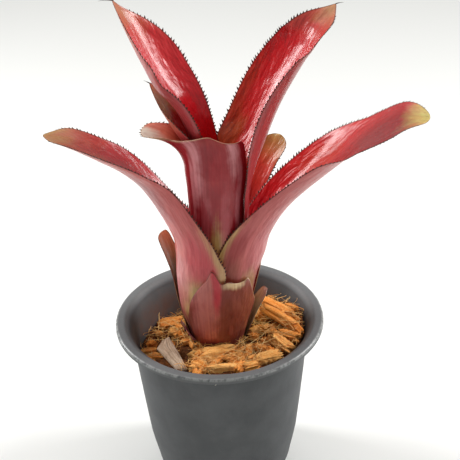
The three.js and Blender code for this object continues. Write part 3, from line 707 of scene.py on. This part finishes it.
def leaf_piece(name, node, finish, surface, spines=(), upright=False, point=None):
    """A leaf in its finish. Point is the run of the spine on its tip, from the tip's middle."""
    points, faces, marks = blade(*surface, spines, upright)
    if point:
        tip = surface[0][-1, surface[0].shape[1] // 2]
        turns = np.linspace(0, 1, 9)[:, None]
        reach, bow = np.array(point, float)
        run = tip - 0.1 * reach + reach * 1.1 * turns + bow * turns ** 2
        thorn, sides = thread(run, 0.32, 6, 0.12)
        faces += [[corner + len(points) for corner in side] for side in sides]
        points = np.concatenate([points, thorn])
        marks["share"] = np.concatenate([marks["share"], np.tile([1, 0, 0.5], (len(thorn), 1))])
        marks["place"] = np.concatenate([marks["place"], np.tile([0, 0, 0], (len(thorn), 1))])
        marks["spine"] = np.concatenate([marks["spine"], np.repeat(0.4 + 0.6 * turns[:, 0], 6)])
    leaf = make_piece(name, points, faces, finish, marks)
    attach(leaf, "root")
    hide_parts(node)
    return leaf


def ripened(colour):
    """A red made deeper and brighter. Greens and tans stay as they are."""
    red, green, blue = colour
    ripe = min(1, max(0, (125 - green) / 45))
    return min(255, red * (1.08 + 0.14 * ripe)), green * (1.05 - 0.3 * ripe), blue * (1 - 0.16 * ripe)


def skin_finish(name, outside, inside, blotches=(), margin=(190, 152, 112), gloss=(0.46, 0.27), horn=0.44,
                shine=0.4):
    """A leaf's waxy skin. Outside and inside are its colours along the length. A blotch is a share
    along, a share across, a face (1 inside), its reach along and across, a colour and a strength.
    The margin is pale up to the share where its brown horn begins."""
    skin = Finish(name, Specular_IOR_Level=shine, Coat_Roughness=0.13)
    share, place, spine = skin.mark("share", 1), skin.mark("place", 1), skin.mark("spine")
    along, across, face = skin.parts(share)
    edge = skin.parts(place)[2]
    cloud = skin.noise(place, 0.07, 3, 0.55)
    mottle = skin.noise(skin.stretch(place, (0.1, 0.3, 0)), 1, 4, 0.65)
    vein = skin.noise(skin.stretch(place, (0.012, 0.95, 0)), 1, 3, 0.6)
    hair = skin.noise(skin.stretch(place, (0.03, 3.1, 0)), 1, 2, 0.5)
    wave = skin.noise(skin.stretch(place, (0.09, 0.2, 0)), 1, 2, 0.5)
    fleck = skin.noise(place, 0.85, 3, 0.7)
    drift = (cloud - 0.5) * 0.16
    outside = [(at, tuple(min(255, 1.14 * part) for part in colour)) for at, colour in outside]
    inside = [(at, ripened(colour)) for at, colour in inside]
    colour = skin.mix(face, skin.ramp(along + drift, outside), skin.ramp(along + drift, inside))
    for at_along, at_across, at_face, reach_along, reach_across, blotch, strength in blotches:
        away = skin.node("ShaderNodeVectorMath", {"operation": "SUBTRACT"},
                         {0: share, 1: (at_along, at_across, at_face)})
        away = skin.stretch(away, (1 / reach_along, 1 / reach_across, 1.6))
        away = skin.node("ShaderNodeVectorMath", {"operation": "LENGTH"}, {0: away}, 1)
        mask = skin.step(away + (cloud - 0.5) * 1.1 + (vein - 0.5) * 0.7, 1.1, 0.35)
        colour = skin.mix(mask * strength, colour, blotch)
    colour = skin.mix(skin.step(mottle, 0.45, 0.75) * 0.4, colour, (206, 130, 130), "MULTIPLY")
    colour = skin.mix(skin.step(mottle, 0.46, 0.2) * 0.16, colour, (224, 96, 76))
    colour = skin.mix(skin.step(vein, 0.35, 0.72) * 0.22, colour, (170, 80, 84), "MULTIPLY")
    colour = skin.mix(skin.step(hair, 0.6, 0.8) * 0.1, colour, (230, 160, 150))
    colour = skin.mix(skin.step(fleck, 0.72, 0.78) * 0.3, colour, (96, 40, 34))
    rind = skin.mix(skin.step(along, horn - 0.03, horn + 0.05), margin, (104, 44, 34))
    colour = skin.mix(skin.step(edge + (mottle - 0.5) * 0.5, 0.6, 0.15) * 0.8, colour, rind)
    thorn = skin.ramp(spine, [(0.15, (112, 44, 30)), (0.5, (70, 30, 20)), (1, (44, 22, 14))])
    colour = skin.mix(skin.step(spine, 0.02, 0.2), colour, thorn)
    rough = gloss[0] - face * (gloss[0] - gloss[1]) + (cloud - 0.5) * 0.12 + (mottle - 0.5) * 0.1
    horny = skin.step(spine, 0.02, 0.2)
    skin.wear(Base_Color=colour, Roughness=rough + horny * 0.3, Coat_Weight=(1 - horny) * 0.32,
              Normal=skin.bump(vein * 0.5 + hair * 0.2 + wave * 5 + mottle * 0.5, 0.4, 0.0007))
    return skin


LEAF_LEFT_LOW = [
    [12.6, 84, 1, 22, 100, 4], [15.2, 95, 1.3, 25.8, 97, 5], [18.5, 104, 1.5, 29.7, 96, 5],
    [19.9, 113, 1.7, 30.9, 94, 5], [21, 127, 2.4, 32.6, 92, 8], [21.1, 141, 2.8, 33.4, 86, 10],
    [23.4, 153, 2.5, 26, 67, 15], [35.6, 174, -1, 22.6, 52, 20], [47, 187.3, -0.3, 19.6, 41, 14],
    [59, 196, 0.2, 17, 34, 9], [74, 203.6, -2.6, 12.4, 26, 4], [85.3, 206.8, -4.6, 4.4, 12, 0],
]
low_left_skin = skin_finish(
    "low_left_skin",
    [(0, (120, 52, 52)), (0.3, (150, 72, 60)), (0.42, (188, 104, 94)), (0.58, (184, 86, 84)),
     (1, (172, 84, 70))],
    [(0, (120, 20, 30)), (0.6, (150, 30, 38)), (0.8, (160, 52, 50)), (0.88, (166, 96, 64)),
     (1, (176, 150, 86))],
    [(0.31, 0.55, 0, 0.13, 0.4, (204, 184, 104), 0.9), (0.46, 0.6, 0, 0.1, 0.35, (210, 62, 76), 0.8),
     (0.37, 0.2, 0, 0.14, 0.4, (206, 116, 116), 0.8), (0.42, 0.97, 0, 0.16, 0.12, (214, 182, 124), 0.8),
     (0.8, 0.2, 1, 0.05, 0.5, (170, 96, 50), 0.5),
     (0.12, 0.1, 0, 0.12, 0.35, (104, 44, 52), 0.6), (0.66, 0.3, 0, 0.1, 0.5, (150, 88, 92), 0.5)],
)
leaf_piece("low_left_leaf", "leaf_left_low", low_left_skin, strap(-90, LEAF_LEFT_LOW, 5, 0.93),
           [(0, 1, 0.42, 0.97), (-1, -2, 0.4, 0.97)])


# ----------------------------------------------------------------------
# The low leaf that arches to the right.
LEAF_RIGHT_LOW = [
    [11.35, 84, -0.6, 19.8, 100, -3], [13.9, 95, -0.7, 23.7, 98, -3], [15.9, 104, -0.8, 26.6, 96, -3],
    [17.5, 113, -0.9, 28.8, 94, -3], [19.6, 126, -1, 30, 90, -5], [23.2, 137, -0.7, 31.6, 85, -16],
    [27.2, 149.5, 2.3, 27.3, 75, -15], [38, 165.7, 4.6, 22.8, 68, -10], [60, 185.5, 6.2, 24.6, 45, -10],
    [72.5, 199.4, 3.3, 15.7, 16, -5], [88.4, 213.9, -6.9, 13.5, 6, 0], [100.4, 216.1, -11.3, 9.6, 20, 2],
]
low_right_skin = skin_finish(
    "low_right_skin",
    [(0, (116, 52, 48)), (0.35, (138, 62, 54)), (0.45, (176, 88, 80)), (0.55, (180, 88, 86)),
     (0.8, (176, 92, 90)),
     (1, (164, 110, 70))],
    [(0, (120, 14, 26)), (0.55, (150, 18, 32)), (0.62, (172, 44, 44)), (0.8, (170, 66, 58)),
     (0.9, (166, 72, 66)),
     (0.95, (190, 150, 88)), (1, (196, 184, 104))],
    [(0.42, -0.78, 0, 0.1, 0.24, (150, 60, 34), 0.8), (0.42, -1, 0, 0.15, 0.14, (220, 196, 118), 0.95),
     (0.5, -0.3, 0, 0.12, 0.4, (196, 96, 100), 0.7), (0.36, -0.4, 0, 0.08, 0.3, (176, 140, 84), 0.6),
     (0.5, -0.75, 0, 0.06, 0.2, (176, 50, 58), 0.6), (0.7, 0.5, 1, 0.06, 0.4, (196, 70, 40), 0.4)],
)
leaf_piece("low_right_leaf", "leaf_right_low", low_right_skin,
           strap(90, LEAF_RIGHT_LOW, 5, 0.93),
           [(0, 1, 0.42, 0.97), (-1, -2, 0.4, 0.97)])


# ----------------------------------------------------------------------
# The tall leaf on the right.
LEAF_RIGHT_HIGH = [
    [10.1, 84, 0, 17.6, 100, 0], [12.6, 95, 0, 21.6, 98, 0], [14.6, 104, 0, 24.2, 95, 0],
    [16, 113, 0, 23.5, 84, 0], [16.4, 132, 0, 20, 70, 0], [15.8, 152, 0, 17, 58, 0],
    [14.8, 169, 0.4, 18, 55, 3], [15.8, 182, 1.5, 22.5, 57, 4], [23.1, 197.6, 1, 26.5, 60, -8],
    [32.7, 219.9, 0, 26.5, 61, -12], [43.4, 241.4, -2.6, 19.7, 60, -5], [48.6, 252.3, -2.8, 12.5, 39, 11],
    [62.5, 260.8, 2.5, 2.2, 22, 20],
]
tall_right_skin = skin_finish(
    "tall_right_skin",
    [(0, (120, 30, 34)), (0.5, (146, 42, 46)), (0.8, (148, 58, 58)), (1, (158, 96, 76))],
    [(0, (120, 20, 24)), (0.45, (146, 28, 30)), (0.7, (168, 38, 40)), (0.85, (166, 48, 50)),
     (0.93, (166, 84, 66)),
     (1, (172, 122, 78))],
    [(0.6, 0.8, 1, 0.12, 0.35, (166, 84, 34), 0.7), (0.72, 0.9, 1, 0.1, 0.2, (170, 72, 40), 0.5),
     (0.56, 0, 1, 0.08, 0.6, (150, 60, 34), 0.5)],
)
leaf_piece("tall_right_leaf", "leaf_right_high", tall_right_skin,
           strap(112, LEAF_RIGHT_HIGH, 6, 0.94),
           [(0, 1, 0.5, 0.97), (-1, -2, 0.5, 0.97)], point=[(2.4, 0.8, 1.4), (1.6, 0.4, -1.2)])


# ----------------------------------------------------------------------
# The short leaf on the left, cupped round the tall one.
LEAF_LEFT_SHORT = [
    [7.7, 84, 0, 13.4, 100, 0], [10, 95, 0, 17.1, 98, 0], [12, 104, 0, 20.1, 96, 0],
    [13.1, 113, 0, 21.7, 95, 0], [13, 132, 0, 21.1, 93, 0], [12.4, 152, 0, 19.9, 92, 0],
    [11.8, 168, 0, 18.5, 90, 0], [12.3, 178, 0, 18.6, 87, 0], [13.6, 195.5, 0, 17.6, 77, 2],
    [22.4, 210.5, 0, 15, 55, 2], [27.6, 220, 0, 11.4, 36, 0], [33.6, 231, 1, 3.6, 20, 0],
]
short_left_skin = skin_finish(
    "short_left_skin",
    [(0, (120, 30, 34)), (0.78, (150, 42, 44)), (0.88, (180, 110, 84)), (1, (176, 120, 84))],
    [(0, (130, 16, 26)), (0.76, (176, 34, 42)), (0.82, (186, 60, 52)), (0.88, (255, 210, 156)),
     (0.95, (250, 196, 140)),
     (1, (190, 130, 90))],
    [(0.84, 0.5, 1, 0.06, 0.6, (255, 200, 146), 0.8)],
)
leaf_piece("short_left_leaf", "leaf_left_short", short_left_skin,
           strap(-105, LEAF_LEFT_SHORT, 7, 0.85),
           [(0, 1, 0.66, 0.94), (-1, -2, 0.66, 0.94)], point=[(-2.2, 0.4, 1), (-0.6, 0, 0.4)])


# ----------------------------------------------------------------------
# The tall leaf on the left, the innermost.
LEAF_LEFT_HIGH = [
    [6.5, 84, 0, 11.3, 100, 0], [8.7, 95, 0, 14.9, 98, 0], [10.7, 104, 0, 17.7, 95, 0],
    [11.8, 113, 0, 19.4, 94, 0], [11.7, 132, 0, 18.8, 92, 0], [11.1, 152, 0, 17.4, 90, 0],
    [10.5, 168, 0, 16.1, 88, 0], [10.9, 178, 0.3, 16.2, 85, 2], [12.4, 199, 1, 16.2, 77, 8],
    [19, 218, 2.5, 18.7, 68, 9], [28.8, 229.5, 1.7, 21.2, 59, 4], [36.1, 240.6, 0.5, 20.6, 56, 4],
    [43.3, 254.8, 1, 13.7, 42, 4], [52.8, 269.5, 0, 2.7, 29, 10],
]
tall_left_skin = skin_finish(
    "tall_left_skin",
    [(0, (120, 30, 34)), (0.7, (156, 50, 54)), (0.9, (168, 78, 74)), (1, (166, 110, 80))],
    [(0, (120, 16, 28)), (0.6, (168, 22, 38)), (0.78, (168, 38, 46)), (0.88, (166, 62, 60)),
     (0.94, (166, 90, 62)),
     (1, (172, 118, 84))],
)
leaf_piece("tall_left_leaf", "leaf_left_high", tall_left_skin,
           strap(-110, LEAF_LEFT_HIGH, 7, 0.93),
           [(0, 1, 0.6, 0.97), (-1, -2, 0.6, 0.97)], point=[(-5.5, 1.5, 0.9), (-1.5, 0, -1.6)])


# ----------------------------------------------------------------------
# The old leaf at the back right.
LEAF_BACK = [
    [13.9, 84, 0, 7.3, 30, 0], [17.2, 96, 0, 9.3, 31, 0], [20.8, 110, 0, 13, 36, 0],
    [25.5, 124, 0, 13.5, 31, 0], [31, 138, 0, 12, 26, 0], [35.3, 150, 0.5, 9, 24, 0],
    [39.8, 162, 0.5, 7, 22, 0], [45.5, 172, -1.5, 7, 20, 0], [50.5, 178.5, -3.4, 7.2, 20, 0],
    [54, 183, -4.2, 5.6, 16, 0],
]
old_back_skin = skin_finish(
    "old_back_skin",
    [(0, (120, 60, 40)), (0.6, (150, 70, 56)), (1, (166, 130, 76))],
    [(0, (110, 40, 34)), (0.5, (142, 40, 40)), (0.72, (170, 78, 50)), (0.85, (172, 118, 66)),
     (1, (172, 142, 78))],
)
leaf_piece("old_back_leaf", "leaf_back", old_back_skin, strap(147, LEAF_BACK, 3, 0.9, 90, 25),
           [(0, 1, 0.5, 0.9), (-1, -2, 0.5, 0.9)])


# ----------------------------------------------------------------------
# Dry stubs of old outer leaves: one on the left, and a small pale scale at the base on the right.
STUB_LEFT = [
    [13.9, 84, 0, 5, 21, 0], [17.6, 96, 0, 6.5, 22, 0], [21, 110, 0, 7.5, 21, 0],
    [23.8, 124, 0, 7.5, 20, 0], [27.3, 133, 0, 6.5, 20, 0], [30.6, 140.5, 0, 6, 20, 0],
    [32.2, 144, 0, 4.5, 16, 0],
]
dry_skin = skin_finish(
    "dry_skin",
    [(0, (130, 86, 56)), (0.5, (160, 110, 74)), (1, (200, 160, 118))],
    [(0, (140, 106, 74)), (0.4, (160, 126, 86)), (0.7, (170, 130, 88)), (1, (200, 162, 120))], (),
    (190, 160, 120), (0.6, 0.5),
)
leaf_piece("left_stub", "stub_left", dry_skin, strap(-112, STUB_LEFT, 3, 0.95, 60, 21),
           [(-1, -2, 0.6, 0.92)])
STUB_RIGHT = [
    [13.9, 84, 0, 2.6, 11, 0], [17, 93, 0, 4.5, 15, 0], [21, 103, 0.5, 7, 25, 0],
    [24.5, 110, 1, 5.5, 20, 0], [26, 113, 1, 2, 12, 0],
]
scale_skin = skin_finish(
    "scale_skin",
    [(0, (170, 160, 100)), (0.6, (214, 212, 160)), (1, (226, 200, 174))],
    [(0, (170, 160, 100)), (0.6, (226, 220, 170)), (1, (232, 196, 176))], (), (214, 150, 140), (0.5, 0.45),
)
leaf_piece("right_scale", "stub_right", scale_skin, strap(95, STUB_RIGHT, 2, 0.85, 50, 21))


# ----------------------------------------------------------------------
# The rolled leaf that forms the tube, torn across its top, with a bent-out blade on the left.
def sleeve(ribs, profile, corner, steps, around):
    """The middle surface of a leaf that stands as a sleeve, from ribs of azimuth at the base and
    at the rim, rim radius, rim height and extra radius, on a profile of height and radius."""
    foot, shoulder = profile[0][0], profile[-1][0]
    heights, radii = zip(*profile)
    around_share = np.linspace(0, 1, around)
    base, rim, rim_radius, rim_height, extra = row_at(ribs, around_share).T[:, :, None]

    def wall_at(height):
        share = 0.5 + 0.5 * smooth((height - foot) / (shoulder - foot))
        return np.interp(height, heights, radii) + extra * share

    below = round(steps * 0.55)
    low = np.linspace(foot, shoulder, below)[None, :] + np.zeros_like(base)
    straight = on_axis(low) + direction(base + 0 * low) * wall_at(low)[..., None]
    top = wall_at(np.full_like(base, shoulder))
    start = on_axis(np.full_like(base, shoulder)) + direction(base) * top[..., None]
    finish = on_axis(rim_height) + direction(rim) * rim_radius[..., None]
    turn = base + (rim - base) * corner[0]
    bend = (on_axis(shoulder + (rim_height - shoulder) * corner[1])
            + direction(turn) * (top + (rim_radius - top) * corner[0])[..., None])
    s = np.linspace(0, 1, steps - below + 1)[None, 1:, None]
    curved = (1 - s) ** 2 * start + 2 * s * (1 - s) * bend + s * s * finish
    grid = np.concatenate([straight, curved], axis=1)
    up = np.linspace(0, 1, steps)
    return grid, np.broadcast_to(around_share[:, None], grid.shape[:2]), np.broadcast_to(up, grid.shape[:2])


TUBE_RIBS = [
    [64, 42, 15.3, 207.5, 0], [45, 26, 15.5, 207.8, 0], [26, 8, 15.6, 209, 0], [6, -8, 15.6, 211, 0],
    [-14, -22, 16.1, 212, 0], [-34, -50, 17.5, 209, 0.4], [-50, -74, 22, 206.5, 0.9],
    [-62, -84, 28, 206.8, 1.2], [-73, -88, 34, 206.3, 1.2], [-84, -94, 37.2, 205.5, 1.2],
    [-96, -102, 38.4, 206, 1.2], [-108, -110, 36.5, 207, 1.2], [-120, -114, 30.5, 207.2, 1],
    [-133, -117, 25.5, 207, 0.6], [-147, -133, 21.8, 206, 0.3], [-163, -154, 19, 199, 0],
    [-180, -178, 17, 192, 0], [-198, -198, 16, 189.5, 0],
]
TUBE_PROFILE = [(84, 8.9), (95, 11.3), (104, 13.3), (113, 14.4), (132, 14.3), (152, 13.7), (168, 13.2),
                (178, 13.9), (188, 15)]
tube_skin = skin_finish(
    "tube_skin",
    [(0, (140, 24, 36)), (0.14, (146, 30, 38)), (0.28, (138, 28, 36)), (0.4, (150, 32, 42)),
     (0.55, (150, 48, 50)),
     (1, (140, 26, 36))],
    [(0, (160, 60, 50)), (0.35, (186, 110, 80)), (0.5, (190, 150, 128)), (0.62, (182, 110, 80)),
     (0.8, (140, 46, 44)),
     (1, (140, 44, 36))],
    [(0.2, 0.9, 0, 0.2, 0.15, (172, 46, 42), 0.6), (0.2, 0.3, 0, 0.08, 0.14, (196, 170, 96), 0.8),
     (0.5, 0.98, 0, 0.18, 0.11, (214, 176, 134), 1), (0.37, 0.98, 0, 0.12, 0.07, (212, 158, 128), 0.9),
     # These pale pink streaks, narrow around the tube and long up its outer face, are painted satin sheen:
     # painted highlights.
     (0.32, 0.74, 0, 0.05, 0.34, (226, 146, 150), 0.9), (0.36, 0.56, 0, 0.03, 0.26, (220, 140, 144), 0.8),
     (0.09, 0.8, 0, 0.055, 0.26, (226, 146, 150), 0.9), (0.06, 0.5, 0, 0.03, 0.2, (206, 120, 126), 0.7),
     (0.15, 0.4, 0, 0.04, 0.14, (196, 92, 98), 0.6), (0.27, 0.42, 0, 0.04, 0.14, (200, 96, 102), 0.6),
     (0.2, 0.62, 0, 0.05, 0.12, (176, 40, 48), 0.7), (0.53, 0.98, 1, 0.09, 0.16, (214, 202, 184), 0.95)],
    (214, 176, 140), (0.4, 0.5), 2, 0.3,
)
leaf_piece("tube_leaf", "leaf_tube", tube_skin,
           sleeve(TUBE_RIBS, TUBE_PROFILE, (0.04, 1), 120, 150),
           [(-1, -2, 0.44, 0.84)], True)


# ----------------------------------------------------------------------
# The stub of an old outer leaf, wrapped over the front, torn along its top.
FRONT_RIBS = [
    [78, 84, 19.2, 110, 0], [66, 68, 19.6, 117, 0.1], [55, 55, 20.4, 126, 0.3], [47, 47, 20.7, 131.5, 0.6],
    [39, 39, 20.8, 131, 0.9], [26, 26, 21.1, 131.5, 1.5], [13, 12, 22.2, 134, 2.1], [3, 3, 22.6, 134, 2.4],
    [-6, -8, 22.6, 141, 2.5], [-15, -16, 22.5, 135.5, 2.7], [-26, -28, 22.2, 129, 2.8],
    [-35, -40, 21.9, 120, 2.8], [-43, -46, 21.5, 110, 2.8],
]
front_skin = skin_finish(
    "front_skin",
    [(0, (130, 66, 48)), (0.5, (120, 54, 42)), (0.72, (128, 52, 46)), (0.9, (140, 60, 52)),
     (1, (130, 66, 50))],
    [(0, (130, 66, 48)), (1, (150, 90, 60))],
    [(0.76, 0.82, 0, 0.2, 0.36, (212, 122, 112), 0.9), (0.63, 0.95, 0, 0.07, 0.24, (204, 46, 62), 0.9),
     (0.44, 0.99, 0, 0.16, 0.06, (222, 192, 142), 0.9), (0.3, 0.4, 0, 0.2, 0.3, (112, 54, 44), 0.6)],
    (206, 176, 130),
)
leaf_piece("front_stub", "stub_front", front_skin,
           sleeve(FRONT_RIBS, [(84, 12.9), (92, 14.4), (98, 15.9)], (0.6, 0.5), 80, 110), (), True)
BRACT_RIBS = [
    [-56, -34, 20.8, 96, 0], [-61, -47, 21.2, 99, 0], [-67, -60, 21, 102, 0], [-73, -73, 20.4, 101, 0],
    [-79, -84, 19.8, 96, 0],
]
bract_skin = skin_finish("bract_skin", [(0, (110, 44, 60)), (1, (96, 36, 54))],
                         [(0, (120, 52, 60)), (1, (110, 50, 60))], (), (150, 80, 90))
leaf_piece("left_bract", "bract_left", bract_skin,
           sleeve(BRACT_RIBS, [(84, 14.6), (88, 15.3)], (0.3, 0.5), 40, 50), (), True)


# ----------------------------------------------------------------------
# The studio: a pale floor, soft lights overhead and at both sides, and the camera, which looks
# down on the plant from the front.
FLOOR_SEGMENTS = 96
turn = np.linspace(0, 2 * np.pi, FLOOR_SEGMENTS, endpoint=False)
points = np.concatenate([np.stack([r * np.sin(turn), r * np.cos(turn), 0 * turn - 0.05], -1)
                         for r in (1, 200, 1000, 4000, 9000)])
faces = [list(range(FLOOR_SEGMENTS))[::-1]] + ring_faces(5, FLOOR_SEGMENTS)
floor_paper = Finish("floor_paper", Base_Color=rgb((236, 236, 233)), Roughness=0.9)
floor = make_piece("studio_floor", points, faces, floor_paper)

world = bpy.data.worlds.new("studio_air")
world.use_nodes = True
world.node_tree.nodes["Background"].inputs["Color"].default_value = (0.93, 0.94, 0.93, 1)
world.node_tree.nodes["Background"].inputs["Strength"].default_value = 0.4
bpy.context.scene.world = world
bpy.context.scene.view_settings.view_transform = "Standard"


def soft_light(name, place, aim, size, power):
    """A square soft box at a place, turned to its aim, both in millimetres."""
    lamp = bpy.data.lights.new(name, "AREA")
    lamp.shape = "RECTANGLE"
    lamp.size, lamp.size_y = size[0] * 0.001, size[1] * 0.001
    lamp.energy = power
    made = bpy.data.objects.new(name, lamp)
    made.location = Vector(place) * 0.001
    made.rotation_euler = (Vector(aim) - Vector(place)).to_track_quat("-Z", "Y").to_euler()
    bpy.context.scene.collection.objects.link(made)


soft_light("left_box", (-575, 268, 496), (0, 0, 200), (150, 560), 4.6)
soft_light("right_box", (597, 160, 528), (0, 0, 200), (160, 520), 4.6)
soft_light("overhead_box", (0, 900, 1700), (0, 560, 0), (1900, 1700), 10.5)

elevation, roll = math.radians(31.26), math.radians(2.03)
target = np.array([7.19, 0, 150.96])
camera_distance = 650
back = np.array([0, -math.cos(elevation), math.sin(elevation)])
level_up = np.array([0, math.sin(elevation), math.cos(elevation)])
right = np.array([math.cos(roll), 0, 0]) - level_up * math.sin(roll)
up = np.array([math.sin(roll), 0, 0]) + level_up * math.cos(roll)
lens = bpy.data.cameras.new("studio_camera")
lens.lens = 100.07
lens.sensor_width = 36
lens.clip_end = 50
camera = bpy.data.objects.new("studio_camera", lens)
camera.matrix_world = Matrix([[*axis, place] for axis, place in
                              zip(np.stack([right, up, back], -1).tolist(),
                                  ((target + back * camera_distance) * 0.001).tolist())] + [[0, 0, 0, 1]])
bpy.context.scene.collection.objects.link(camera)
bpy.context.scene.camera = camera
